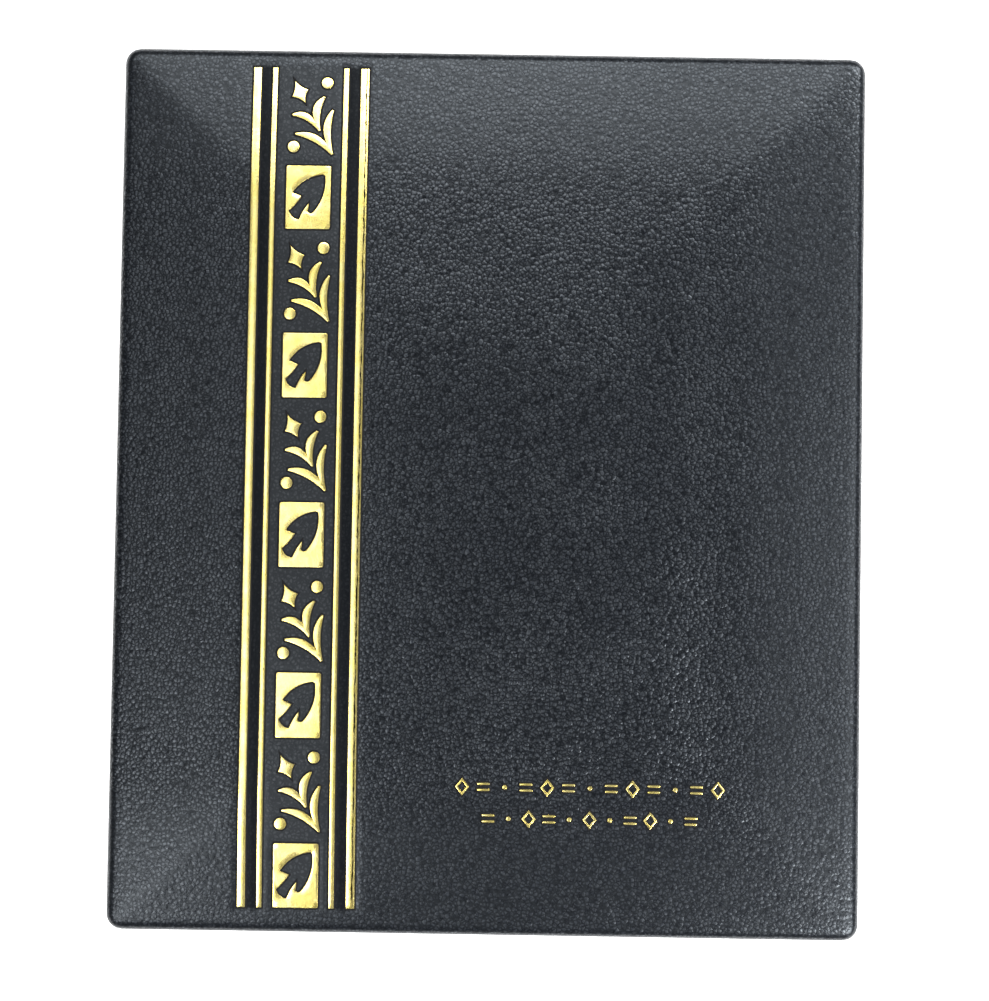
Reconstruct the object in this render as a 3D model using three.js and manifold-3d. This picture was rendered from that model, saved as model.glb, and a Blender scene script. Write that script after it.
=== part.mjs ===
// A book-style coin album: two leatherette-covered halves on a brass piano hinge.
// Each half holds a flocked page with a clear capsule, a coin card and its coins.
// Millimetres, +Z up. The album lies closed on its flat back cover, with the spine at -X,
// and its origin is the middle of the back cover's underside.
import * as THREE from "three";
import { mergeVertices } from "three/addons/utils/BufferGeometryUtils.js";
import Module from "manifold-3d";

const wasm = await Module();
wasm.setup();

// ---- driving dimensions ----
const WIDTH = 137; // along X, spine to opening side
const HEIGHT = 162; // along Y
const HALF_DEPTH = 11; // outer face to rim, each half at its edge
const PARTING_GAP = 0.4; // between the two rims when the album is closed
const CROWN = 3.6; // how far the padded front cover rises above its edge
const CORNER_RADIUS = 3; // plan corners
const EDGE_RADIUS = 2.6; // rounding between the wall and the outer face
const FIT_GAP = 0.3; // between pieces that rest on each other

// Thicknesses, from the outer face inwards
const SKIN = 0.8; // leatherette
const BOARD = 1.2; // rigid shell under the leatherette
const PAGE_SINK = 0.4; // page surface below the rim
const RIM_BEVEL = 0.2;

// Capsules and cards
const CAPSULE_WIDTH = 98;
const CAPSULE_HEIGHT = 124;
const CAPSULE_CORNER = 2;
const CAPSULE_WALL = 2.3;
const CAPSULE_REAR_FLOOR = 1.2;
const CAPSULE_FRONT = 1.1;
const CARD = 2.6;
const CARD_CORNER = 1;
const CERTIFICATE = 0.3;
const BACK_PAGE_FLOOR = 4.2; // top of the page's recess floor, from the outer face
const FRONT_PAGE_FLOOR = 3.6; // deeper, to leave room for the certificate

// Hinge, on the parting plane just outside the spine wall
const HINGE_OUTSET = 0.25;
const KNUCKLES = 11;
const KNUCKLE_PITCH = 11;
const KNUCKLE_GAP = 0.4;
const BARREL_RADIUS = 1.25;
const BORE_RADIUS = 0.68;
const PIN_RADIUS = 0.6;
const LEAF_THICKNESS = 0.5;
const LEAF_STANDOFF = 0.1; // leaf face to parting plane
const LEAF_WIDTH = 7.1;
const HINGE_SIDES = 16;
const SCREW_Y = [-46, -16, 16, 46];
const SCREW_HEAD_RADIUS = 1.3;
const SCREW_SHANK_RADIUS = 0.6;
const SCREW_LENGTH = 3.6;
const SCREW_GAP = 0.15;

const MAGNET_RADIUS = 3;
const MAGNET_THICKNESS = 2;
const MAGNET_COVER = 1; // page material left over each magnet
const MAGNET_X = 57.5; // from the album's middle, towards the opening side
const MAGNET_Y = 58;

// Coins: diameter and thickness of each denomination
const COIN_SIDES = 24;
const COIN_RIM_WIDTH = 1;
const COIN_FIELD_DROP = 0.25;
const COINS = {
  dollar: { diameter: 38.1, thickness: 2.6 },
  half: { diameter: 30.6, thickness: 2.15 },
  quarter: { diameter: 24.26, thickness: 1.75 },
  nickel: { diameter: 21.21, thickness: 1.95 },
  cent: { diameter: 19.05, thickness: 1.52 },
  dime: { diameter: 17.91, thickness: 1.35 },
};
// Each page's coins, placed from the middle of the page as the reader sees it
const BACK_PAGE_COINS = [
  { name: "coin_half_dollar", coin: COINS.half, x: 0, y: 4 },
  { name: "coin_quarter", coin: COINS.quarter, x: -25, y: 36 },
  { name: "coin_nickel", coin: COINS.nickel, x: 25, y: 36 },
  { name: "coin_cent", coin: COINS.cent, x: -25, y: -30 },
  { name: "coin_dime", coin: COINS.dime, x: 25, y: -30 },
];
const FRONT_PAGE_COINS = [
  { name: "coin_silver_dollar", coin: COINS.dollar, x: 0, y: 24 },
  { name: "coin_commemorative_half", coin: COINS.half, x: 0, y: -26 },
];

const CORNER_STEPS = 4; // facets round each plan corner
const ROUND_STEPS = 3; // facets across each edge rounding
const DOME_INSETS = [4, 7, 11, 16, 23, 32, 43, 56];

// ---- derived dimensions ----
const PARTING_Z = HALF_DEPTH + PARTING_GAP / 2; // the hinge axis lies on this plane
const CLOSED_DEPTH = 2 * PARTING_Z; // both halves at their edges
const HINGE_X = -WIDTH / 2 - HINGE_OUTSET;
const HINGE_LENGTH = KNUCKLES * KNUCKLE_PITCH;
const PAGE_TOP = HALF_DEPTH - PAGE_SINK;
const BOARD_INSET = SKIN + FIT_GAP;
const PAGE_INSET = BOARD_INSET + BOARD + FIT_GAP;
const LIP_WIDTH = PAGE_INSET - FIT_GAP; // leatherette turned in over the board's rim
const CAPSULE_TOP = PAGE_TOP - FIT_GAP;
const CAPSULE_Z = BACK_PAGE_FLOOR + FIT_GAP;
const CARD_Z = CAPSULE_Z + CAPSULE_REAR_FLOOR + FIT_GAP;

// ---- materials ----
function finish(color, roughness, metalness = 0, opacity = 1) {
  return new THREE.MeshStandardMaterial({
    color,
    roughness,
    metalness,
    opacity,
    transparent: opacity < 1,
  });
}
const LEATHERETTE = finish(0x14171d, 0.45);
const GREYBOARD = finish(0x6f6a62, 0.9);
const FOAM = finish(0xd8d4c4, 0.95);
const FLOCK = finish(0x16264f, 1);
const ACRYLIC = finish(0xeef4f6, 0.05, 0, 0.3);
const CARD_STOCK = finish(0x1b2c55, 0.6);
const PAPER = finish(0xe9e4d2, 0.85);
const BRASS = finish(0xc9a24a, 0.3, 1);
const MAGNET = finish(0x8d8f92, 0.35, 1);
const SILVER = finish(0xd9dadb, 0.15, 1);
const COPPER = finish(0xb5653a, 0.2, 1);

// ---- solids ----

// One outline of a rounded rectangle, counter-clockwise seen from +Z.
function roundedRectangle(halfX, halfY, radius, z) {
  const points = [];
  const centres = [
    [halfX - radius, halfY - radius],
    [radius - halfX, halfY - radius],
    [radius - halfX, radius - halfY],
    [halfX - radius, radius - halfY],
  ];
  centres.forEach(([cx, cy], quarter) => {
    for (let step = 0; step <= CORNER_STEPS; step++) {
      const angle = ((quarter + step / CORNER_STEPS) * Math.PI) / 2;
      points.push([cx + radius * Math.cos(angle), cy + radius * Math.sin(angle), z]);
    }
  });
  return points;
}

// A closed solid through a stack of outlines. The first is capped facing down and the last
// facing up, so a profile that runs out, up, in and down again makes a pan.
function stack(outlines) {
  const count = outlines[0].length;
  const positions = outlines.flat(2);
  const indices = [];
  for (let k = 0; k + 1 < outlines.length; k++) {
    for (let i = 0; i < count; i++) {
      const next = (i + 1) % count;
      const a = k * count + i;
      const b = k * count + next;
      const c = (k + 1) * count + next;
      const d = (k + 1) * count + i;
      indices.push(a, b, c, a, c, d);
    }
  }
  const last = (outlines.length - 1) * count;
  const bottom = positions.length / 3;
  positions.push(0, 0, outlines[0][0][2], 0, 0, outlines.at(-1)[0][2]);
  for (let i = 0; i < count; i++) {
    const next = (i + 1) % count;
    indices.push(bottom, next, i, bottom + 1, last + i, last + next);
  }
  const geometry = new THREE.BufferGeometry();
  geometry.setAttribute("position", new THREE.Float32BufferAttribute(positions, 3));
  geometry.setIndex(indices);
  geometry.computeVertexNormals();
  return geometry;
}

// The album's own outline, inset by d. The corners grow softer towards the crown.
function albumOutline(d, z) {
  const halfX = WIDTH / 2 - d;
  const halfY = HEIGHT / 2 - d;
  const soft = CORNER_RADIUS + 0.25 * Math.max(0, d - EDGE_RADIUS);
  return roundedRectangle(halfX, halfY, Math.min(soft, 0.9 * halfX), z);
}
const albumStack = (profile) => stack(profile.map(([d, z]) => albumOutline(d, z)));

// An arc in a profile, from the flat outer face (angle 0) to the wall (angle 1), or back.
function edgeArc(radius, outwards) {
  const points = [];
  for (let step = 0; step <= ROUND_STEPS; step++) {
    const turn = ((outwards ? step : ROUND_STEPS - step) / ROUND_STEPS) * (Math.PI / 2);
    points.push([EDGE_RADIUS - radius * Math.sin(turn), EDGE_RADIUS - radius * Math.cos(turn)]);
  }
  return points;
}

// How far the padded cover stands above its edge, at a distance d in from the wall.
const crownAt = (d) => CROWN * (1 - (1 - d / (WIDTH / 2)) ** 2);

// A flat block with rounded corners.
const block = (width, height, radius, low, high) =>
  stack([low, high].map((z) => roundedRectangle(width / 2, height / 2, radius, z)));

// A cylinder or cone frustum standing on z = low.
function post(radius, low, high, x, y, sides, topRadius = radius) {
  const geometry = new THREE.CylinderGeometry(topRadius, radius, high - low, sides);
  return geometry.rotateX(Math.PI / 2).translate(x, y, (low + high) / 2);
}

function box(lowX, highX, lowY, highY, lowZ, highZ) {
  const geometry = new THREE.BoxGeometry(highX - lowX, highY - lowY, highZ - lowZ);
  return geometry.translate((lowX + highX) / 2, (lowY + highY) / 2, (lowZ + highZ) / 2);
}

// ---- booleans ----
function toSolid(geometry) {
  const bare = geometry.clone();
  bare.deleteAttribute("normal");
  bare.deleteAttribute("uv");
  const merged = mergeVertices(bare, 1e-4);
  const mesh = new wasm.Mesh({
    numProp: 3,
    vertProperties: merged.attributes.position.array,
    triVerts: new Uint32Array(merged.index.array),
  });
  return new wasm.Manifold(mesh);
}

function fromSolid(solid) {
  const mesh = solid.getMesh();
  const geometry = new THREE.BufferGeometry();
  const positions = new Float32Array(mesh.vertProperties);
  geometry.setAttribute("position", new THREE.BufferAttribute(positions, 3));
  geometry.setIndex(new THREE.BufferAttribute(new Uint32Array(mesh.triVerts), 1));
  geometry.computeVertexNormals();
  return geometry;
}

function cut(geometry, tools) {
  const solid = tools.reduce((rest, tool) => rest.subtract(toSolid(tool)), toSolid(geometry));
  return fromSolid(solid);
}

const unite = (geometries) =>
  fromSolid(geometries.map(toSolid).reduce((all, next) => all.add(next)));

function piece(name, geometry, material) {
  const mesh = new THREE.Mesh(geometry, material);
  mesh.name = name;
  return mesh;
}

// ---- one half of the case ----
// Each half is built lying on its outer face, with z = 0 there and the page facing +Z.
// `spine` is -1 or +1, the side of X that its hinge is on.

// The notch in the wall and the turned-in lip that clears the hinge barrel and its leaf.
function hingeNotch(spine) {
  const outer = spine * (WIDTH / 2 + 3);
  const inner = spine * (WIDTH / 2 - PAGE_INSET - FIT_GAP);
  const halfLength = HINGE_LENGTH / 2 + 0.5;
  const floor = PARTING_Z - BARREL_RADIUS - 0.45;
  const [low, high] = [outer, inner].sort((a, b) => a - b);
  return box(low, high, -halfLength, halfLength, floor, HALF_DEPTH + 1);
}

// Outer wall, rim, turned-in lip and the inside of the leatherette, shared by both covers.
function coveringWall() {
  return [
    ...edgeArc(EDGE_RADIUS, true).slice(1),
    [0, HALF_DEPTH - RIM_BEVEL],
    [RIM_BEVEL, HALF_DEPTH],
    [LIP_WIDTH - RIM_BEVEL, HALF_DEPTH],
    [LIP_WIDTH, HALF_DEPTH - RIM_BEVEL],
    [LIP_WIDTH, HALF_DEPTH - SKIN],
    [SKIN, HALF_DEPTH - SKIN],
    ...edgeArc(EDGE_RADIUS - SKIN, false).slice(0, -1),
  ];
}

function backCovering() {
  const profile = [[EDGE_RADIUS, 0], ...coveringWall(), [EDGE_RADIUS, SKIN]];
  return cut(albumStack(profile), [hingeNotch(-1)]);
}

// The front covering is stretched over the pad, so its outer and inner faces are domed. The
// crown fades out over the edge rounding, which leaves the walls upright.
function frontCovering() {
  const outer = DOME_INSETS.map((d) => [d, -crownAt(d)]).reverse();
  const inner = DOME_INSETS.map((d) => [d, SKIN - crownAt(d)]);
  const fade = (z) => Math.max(0, 1 - z / EDGE_RADIUS);
  const flat = [[EDGE_RADIUS, 0], ...coveringWall(), [EDGE_RADIUS, SKIN]];
  const shoulder = flat.map(([d, z]) => [d, z - crownAt(d) * fade(z)]);
  return cut(albumStack([...outer, ...shoulder, ...inner]), [hingeNotch(1)]);
}

// Foam between the board and the front covering: flat below, crowned above.
function coverPad() {
  const underside = BOARD_INSET - FIT_GAP;
  const face = DOME_INSETS.slice(1).map((d) => [d, underside + FIT_GAP - crownAt(d)]);
  return albumStack([...face.reverse(), [DOME_INSETS[1], underside]]);
}

function boardShell() {
  const top = HALF_DEPTH - SKIN - FIT_GAP;
  const inside = BOARD_INSET + BOARD;
  const profile = [
    ...edgeArc(EDGE_RADIUS - BOARD_INSET, true),
    [BOARD_INSET, top],
    [inside, top],
    [inside, inside],
  ];
  return albumStack(profile);
}

// The flocked page: a frame with a recess for the capsule, pockets under its surface for
// the magnets, and a rebate with pilot holes for the hinge leaf.
function page(spine, recessFloor) {
  const frame = albumStack([
    [PAGE_INSET, PAGE_INSET],
    [PAGE_INSET, PAGE_TOP],
  ]);
  const recess = block(
    CAPSULE_WIDTH + 2 * FIT_GAP,
    CAPSULE_HEIGHT + 2 * FIT_GAP,
    CAPSULE_CORNER + FIT_GAP,
    recessFloor,
    HALF_DEPTH + 1,
  );
  const leafEdge = spine * (WIDTH / 2 + HINGE_OUTSET - leafStart() - LEAF_WIDTH - FIT_GAP);
  const [low, high] = [spine * (WIDTH / 2), leafEdge].sort((a, b) => a - b);
  const halfLength = HINGE_LENGTH / 2 + FIT_GAP;
  const rebateFloor = leafUnderside() - FIT_GAP;
  const rebate = box(low, high, -halfLength, halfLength, rebateFloor, HALF_DEPTH);
  const tip = leafUnderside() + LEAF_THICKNESS - SCREW_LENGTH - FIT_GAP;
  const pilots = SCREW_Y.map((y) =>
    post(SCREW_SHANK_RADIUS + SCREW_GAP, tip, HALF_DEPTH, screwX(spine), y, 12),
  );
  const pockets = [-MAGNET_Y, MAGNET_Y].map((y) =>
    post(MAGNET_RADIUS + FIT_GAP, 0, PAGE_TOP - MAGNET_COVER, -spine * MAGNET_X, y, 20),
  );
  return cut(frame, [recess, rebate, ...pilots, ...pockets]);
}

function magnets(half, spine) {
  const top = PAGE_TOP - MAGNET_COVER - FIT_GAP;
  return [-MAGNET_Y, MAGNET_Y].map((y) => {
    const disc = post(MAGNET_RADIUS, top - MAGNET_THICKNESS, top, -spine * MAGNET_X, y, 20);
    return piece(`${half}_magnet_${y > 0 ? "upper" : "lower"}`, disc, MAGNET);
  });
}

// ---- capsule, card and coins ----
function capsuleRear() {
  const top = CAPSULE_TOP - CAPSULE_FRONT - FIT_GAP;
  const outer = block(CAPSULE_WIDTH, CAPSULE_HEIGHT, CAPSULE_CORNER, CAPSULE_Z, top);
  const well = block(
    CAPSULE_WIDTH - 2 * CAPSULE_WALL,
    CAPSULE_HEIGHT - 2 * CAPSULE_WALL,
    CARD_CORNER,
    CAPSULE_Z + CAPSULE_REAR_FLOOR,
    HALF_DEPTH,
  );
  return cut(outer, [well]);
}

function capsuleFront() {
  const bevel = CAPSULE_FRONT / 2;
  const low = CAPSULE_TOP - CAPSULE_FRONT;
  const halfX = CAPSULE_WIDTH / 2;
  const halfY = CAPSULE_HEIGHT / 2;
  return stack([
    roundedRectangle(halfX, halfY, CAPSULE_CORNER, low),
    roundedRectangle(halfX, halfY, CAPSULE_CORNER, CAPSULE_TOP - bevel),
    roundedRectangle(halfX - bevel, halfY - bevel, CAPSULE_CORNER - bevel, CAPSULE_TOP),
  ]);
}

function coinCard(coins) {
  const slack = 2 * (CAPSULE_WALL + FIT_GAP);
  const card = block(
    CAPSULE_WIDTH - slack,
    CAPSULE_HEIGHT - slack,
    CARD_CORNER,
    CARD_Z,
    CARD_Z + CARD,
  );
  const holes = coins.map(({ coin, x, y }) =>
    post(coin.diameter / 2 + FIT_GAP, 0, HALF_DEPTH, x, y, COIN_SIDES),
  );
  return cut(card, holes);
}

// A struck disc with a raised rim on both faces, in the middle of the card's thickness.
function coinDisc({ diameter, thickness }, x, y) {
  const radius = diameter / 2;
  const half = thickness / 2;
  const field = half - COIN_FIELD_DROP;
  const inner = radius - COIN_RIM_WIDTH;
  const profile = [
    [0, -field],
    [inner, -field],
    [inner, -half],
    [radius, -half],
    [radius, half],
    [inner, half],
    [inner, field],
    [0, field],
  ].map(([r, z]) => new THREE.Vector2(r, z));
  const disc = new THREE.LatheGeometry(profile, COIN_SIDES);
  return disc.rotateX(Math.PI / 2).translate(x, y, CARD_Z + CARD / 2);
}

function coinPieces(coins) {
  return coins.map(({ name, coin, x, y }) =>
    piece(name, coinDisc(coin, x, y), name === "coin_cent" ? COPPER : SILVER),
  );
}

function capsule(side, coins) {
  return [
    piece(`${side}_capsule_rear`, capsuleRear(), ACRYLIC),
    piece(`${side}_coin_card`, coinCard(coins), CARD_STOCK),
    ...coinPieces(coins),
    piece(`${side}_capsule_front`, capsuleFront(), ACRYLIC),
  ];
}

// ---- hinge ----
function leafUnderside() {
  return PARTING_Z - LEAF_STANDOFF - LEAF_THICKNESS;
}
// The leaf's own edge, measured from the hinge axis: clear of the other leaf's barrels.
function leafStart() {
  return BARREL_RADIUS + KNUCKLE_GAP;
}
function screwX(spine) {
  return spine * (WIDTH / 2 + HINGE_OUTSET - leafStart() - LEAF_WIDTH / 2);
}

// A cylinder along Y on the hinge axis.
function hingeRod(spine, radius, lowY, highY) {
  const rod = new THREE.CylinderGeometry(radius, radius, highY - lowY, HINGE_SIDES);
  return rod.translate(spine * (WIDTH / 2 + HINGE_OUTSET), (lowY + highY) / 2, PARTING_Z);
}

// One leaf, with every second knuckle from `first`.
function hingeLeaf(spine, first) {
  const axisX = WIDTH / 2 + HINGE_OUTSET;
  const low = leafUnderside();
  const high = low + LEAF_THICKNESS;
  const slab = (nearX, farX, lowY, highY) => {
    const [from, to] = [spine * nearX, spine * farX].sort((a, b) => a - b);
    return box(from, to, lowY, highY, low, high);
  };
  const halfLength = HINGE_LENGTH / 2;
  const leafX = axisX - leafStart();
  const solids = [slab(leafX, leafX - LEAF_WIDTH, -halfLength, halfLength)];
  for (let knuckle = first; knuckle < KNUCKLES; knuckle += 2) {
    const lowY = knuckle * KNUCKLE_PITCH - halfLength + KNUCKLE_GAP / 2;
    const highY = lowY + KNUCKLE_PITCH - KNUCKLE_GAP;
    solids.push(hingeRod(spine, BARREL_RADIUS, lowY, highY));
    solids.push(slab(axisX, leafX - KNUCKLE_GAP, lowY, highY));
  }
  const bore = hingeRod(spine, BORE_RADIUS, -halfLength - 1, halfLength + 1);
  const sinks = SCREW_Y.map((y) => {
    const x = screwX(spine);
    const shank = SCREW_SHANK_RADIUS + SCREW_GAP;
    const head = SCREW_HEAD_RADIUS + SCREW_GAP;
    return [
      post(shank, low - 0.1, high + 0.1, x, y, 12),
      post(shank, low, high, x, y, 12, head),
    ];
  });
  return cut(unite(solids), [bore, ...sinks.flat()]);
}

// Countersunk screw, flush with the leaf.
function leafScrew(x, y) {
  const top = leafUnderside() + LEAF_THICKNESS;
  const profile = [
    [0, top - SCREW_LENGTH],
    [SCREW_SHANK_RADIUS / 2, top - SCREW_LENGTH + 0.2],
    [SCREW_SHANK_RADIUS, top - SCREW_LENGTH + 1],
    [SCREW_SHANK_RADIUS, top - LEAF_THICKNESS],
    [SCREW_HEAD_RADIUS, top],
    [0, top],
  ].map(([r, z]) => new THREE.Vector2(r, z));
  return new THREE.LatheGeometry(profile, 12).rotateX(Math.PI / 2).translate(x, y, 0);
}

function hingePieces(half, spine, first) {
  const screws = SCREW_Y.map((y, i) =>
    piece(`${half}_hinge_screw_${i + 1}`, leafScrew(screwX(spine), y), BRASS),
  );
  return [piece(`${half}_hinge_leaf`, hingeLeaf(spine, first), BRASS), ...screws];
}

// ---- assembly ----
function backHalf() {
  const half = new THREE.Group();
  half.add(
    piece("back_covering", backCovering(), LEATHERETTE),
    piece("back_board", boardShell(), GREYBOARD),
    piece("right_page", page(-1, BACK_PAGE_FLOOR), FLOCK),
    ...magnets("back", -1),
    ...capsule("right", BACK_PAGE_COINS),
    ...hingePieces("back", -1, 0),
  );
  return half;
}

// Built lying on its outer face like the back half, then turned over onto it.
function frontHalf() {
  const half = new THREE.Group();
  const certificateZ = FRONT_PAGE_FLOOR + FIT_GAP;
  const certificate = block(
    CAPSULE_WIDTH - 2 * CAPSULE_WALL,
    CAPSULE_HEIGHT - 2 * CAPSULE_WALL,
    0.5,
    certificateZ,
    certificateZ + CERTIFICATE,
  );
  half.add(
    piece("front_covering", frontCovering(), LEATHERETTE),
    piece("front_pad", coverPad(), FOAM),
    piece("front_board", boardShell(), GREYBOARD),
    piece("left_page", page(1, FRONT_PAGE_FLOOR), FLOCK),
    piece("certificate", certificate, PAPER),
    ...magnets("front", 1),
    ...capsule("left", FRONT_PAGE_COINS),
    ...hingePieces("front", 1, 1),
  );
  half.rotation.y = Math.PI;
  half.position.z = CLOSED_DEPTH;
  return half;
}

const pinOverhang = 0.2;
const pin = new THREE.CylinderGeometry(
  PIN_RADIUS,
  PIN_RADIUS,
  HINGE_LENGTH + 2 * pinOverhang,
  HINGE_SIDES,
).translate(HINGE_X, 0, PARTING_Z);

const album = new THREE.Group();
album.add(backHalf(), frontHalf(), piece("hinge_pin", pin, BRASS));

export default album;
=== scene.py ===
"""Looks of the coin album: leatherette covers with stamped gold foil, flocked pages, capsules,
proof coins and the brass hinge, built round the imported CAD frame. Lengths are in millimetres
here and become metres when a mesh is made."""
import math

import bmesh
import bpy
import numpy as np
from mathutils import Euler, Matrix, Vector


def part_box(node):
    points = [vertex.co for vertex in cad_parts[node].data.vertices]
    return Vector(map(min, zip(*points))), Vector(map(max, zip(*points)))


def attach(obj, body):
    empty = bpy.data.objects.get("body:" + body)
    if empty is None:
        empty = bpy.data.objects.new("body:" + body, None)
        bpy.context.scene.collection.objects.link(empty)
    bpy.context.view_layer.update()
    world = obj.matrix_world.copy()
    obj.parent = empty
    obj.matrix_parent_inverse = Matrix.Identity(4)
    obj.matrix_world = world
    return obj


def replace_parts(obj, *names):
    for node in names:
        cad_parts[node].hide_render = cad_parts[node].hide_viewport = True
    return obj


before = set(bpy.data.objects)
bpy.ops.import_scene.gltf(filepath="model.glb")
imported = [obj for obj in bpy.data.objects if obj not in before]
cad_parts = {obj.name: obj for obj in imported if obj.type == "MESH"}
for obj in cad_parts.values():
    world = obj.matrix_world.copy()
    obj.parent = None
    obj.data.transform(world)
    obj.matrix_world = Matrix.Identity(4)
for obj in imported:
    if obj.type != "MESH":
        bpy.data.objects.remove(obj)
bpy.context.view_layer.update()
MM = 0.001


def box_mm(node):
    """A CAD node's lowest and highest corners, in millimetres."""
    low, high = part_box(node)
    return low / MM, high / MM


FRONT_LOW = box_mm("front_covering")[0]
BACK_HIGH = box_mm("back_covering")[1]
HALF_X = BACK_HIGH.x
HALF_Y = BACK_HIGH.y
HALF_DEPTH = BACK_HIGH.z  # outer face to rim at the edge
PARTING_Z = (BACK_HIGH.z + FRONT_LOW.z) / 2
CLOSED_DEPTH = 2 * PARTING_Z

# The shape of the covers
CORNER_RADIUS = 3.0
EDGE_RADIUS = 1.7
LINING_RADIUS = 2.6
CROWN = 3.6
SKIN = 0.8
LIP_WIDTH = 2.3
HIP_SOFTNESS = 0.07  # how fast the mitre lines from the corners widen as they run in
HINGE_NOTCH_RISE = 1.5  # the rim's step down from the hinge barrel
GRAIN = 0.72  # the leatherette's bead
FLAT_EDGE = 20  # degrees: keeps the broad face of a bevelled plate shaded flat

# Pages and capsules
PAGE_FACING = 0.35
CAPSULE_CORNER = 2.0
CAPSULE_WALL = 2.3
CAPSULE_FLOOR = 1.2
FIT_GAP = 0.3

# The coins' relief
FIELD_DROP = 0.25  # of the field below the rim
STRIKE = 0.22
COIN_RINGS = 90
COIN_SIDES = 288

# The hinge
KNUCKLES = 11
KNUCKLE_GAP = 0.4
KNUCKLE_BORE = 0.66
KNUCKLE_CHAMFER = 0.12
LEAF_THICKNESS = 0.5
LEAF_STANDOFF = 0.1
SCREW_HEAD = 1.3
SCREW_SHANK = 0.6
SINK_GAP = 0.12

# The stamped band, in the cover's own plane
BAND_TOP = 77.45
BAND_BOTTOM = -76.4
RULES = {  # each rule's middle and width
    "outer_left": (-43.75, 1.45),
    "inner_left": (-40.5, 0.95),
    "inner_right": (-27.4, 0.95),
    "outer_right": (-23.95, 1.55),
}
PANEL_X = -33.9
PANEL_WIDTH = 8.2
PANEL_HEIGHT = 11.8
PANEL_PITCH = 30.9
PANEL_COUNT = 5
SPRIG_RISE = 15.3  # a sprig's middle above its panel's middle
DENT_DEPTH = 0.1
DENT_REACH = 0.7
FOIL_BEVEL = 0.1
SHADE_RIM_REACH = 0.3  # how far the near-black plate of painted shade reaches out round each piece of foil
ORNAMENT_X = 19.2
ORNAMENT_ROWS = ((-53.8, 49.5, "L=.=L=.=L=.=L"), (-59.5, 39.9, "=.L=.L.=L.="))
ORNAMENT_HEIGHT = 3.2
ORNAMENT_STROKE = 0.42


# ---------------------------------------------------------------- meshes
def add_object(name, mesh, body, material):
    thing = bpy.data.objects.new(name, mesh)
    bpy.context.scene.collection.objects.link(thing)
    mesh.materials.clear()
    mesh.materials.append(material)
    for face in mesh.polygons:
        face.use_smooth = True
    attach(thing, body)
    return thing


def mesh_from(name, points, faces):
    """A mesh from points in millimetres."""
    mesh = bpy.data.meshes.new(name)
    mesh.from_pydata((np.asarray(points, float) * MM).tolist(), [], faces)
    mesh.validate()
    return mesh


def sharpen(thing, degrees=35):
    """Smooth shading that keeps edges steeper than this sharp."""
    limit = math.radians(degrees)
    work = bmesh.new()
    work.from_mesh(thing.data)
    for edge in work.edges:
        edge.smooth = len(edge.link_faces) != 2 or edge.calc_face_angle(0) < limit
    work.to_mesh(thing.data)
    work.free()
    return thing


def plate(name, loops, low, high, bevel, steps=2, grow=0.0):
    """A flat plate with rounded edges, filled between closed outlines, holes included."""
    curve = bpy.data.curves.new(name, "CURVE")
    curve.dimensions = "2D"
    curve.fill_mode = "BOTH"
    curve.extrude = ((high - low) / 2 - bevel) * MM
    curve.bevel_depth = bevel * MM
    curve.bevel_resolution = steps
    curve.offset = (grow - bevel) * MM
    for loop in loops:
        spline = curve.splines.new("POLY")
        spline.points.add(len(loop) - 1)
        spline.use_cyclic_u = True
        for point, (x, y) in zip(spline.points, loop):
            point.co = (x * MM, y * MM, 0, 1)
    holder = bpy.data.objects.new(name, curve)
    bpy.context.scene.collection.objects.link(holder)
    bpy.context.view_layer.update()
    graph = bpy.context.evaluated_depsgraph_get()
    mesh = bpy.data.meshes.new_from_object(holder.evaluated_get(graph))
    bpy.data.objects.remove(holder)
    work = bmesh.new()
    work.from_mesh(mesh)
    bmesh.ops.remove_doubles(work, verts=work.verts, dist=1e-7)
    bmesh.ops.recalc_face_normals(work, faces=work.faces)
    for vertex in work.verts:
        vertex.co.z += (low + high) / 2 * MM
    work.to_mesh(mesh)
    work.free()
    return mesh


def circle(x, y, radius, sides=64):
    turns = np.arange(sides) * 2 * math.pi / sides
    return [(x + radius * math.cos(a), y + radius * math.sin(a)) for a in turns]


def rounded_rectangle(half_x, half_y, radius, x=0.0, y=0.0, steps=6):
    points = []
    for quarter, (sx, sy) in enumerate(((1, 1), (-1, 1), (-1, -1), (1, -1))):
        for step in range(steps + 1):
            angle = (quarter + step / steps) * math.pi / 2
            points.append((x + sx * (half_x - radius) + radius * math.cos(angle),
                           y + sy * (half_y - radius) + radius * math.sin(angle)))
    return points


def lathe(name, profile, sides, centre, along="Z"):
    """A turned solid. The profile is (radius, height) from the bottom axis point to the top one."""
    points, faces = [], []
    for radius, height in profile:
        for i in range(sides):
            angle = 2 * math.pi * i / sides
            points.append((radius * math.cos(angle), radius * math.sin(angle), height))
    for k in range(len(profile) - 1):
        for i in range(sides):
            j = (i + 1) % sides
            faces.append((k * sides + i, k * sides + j, (k + 1) * sides + j, (k + 1) * sides + i))
    mesh = mesh_from(name, points, faces)
    work = bmesh.new()
    work.from_mesh(mesh)
    bmesh.ops.remove_doubles(work, verts=work.verts, dist=1e-7)
    bmesh.ops.recalc_face_normals(work, faces=work.faces)
    work.to_mesh(mesh)
    work.free()
    if along == "Y":
        mesh.transform(Euler((math.pi / 2, 0, 0)).to_matrix().to_4x4())
    for vertex in mesh.vertices:
        vertex.co += Vector(centre) * MM
    return mesh


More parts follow.
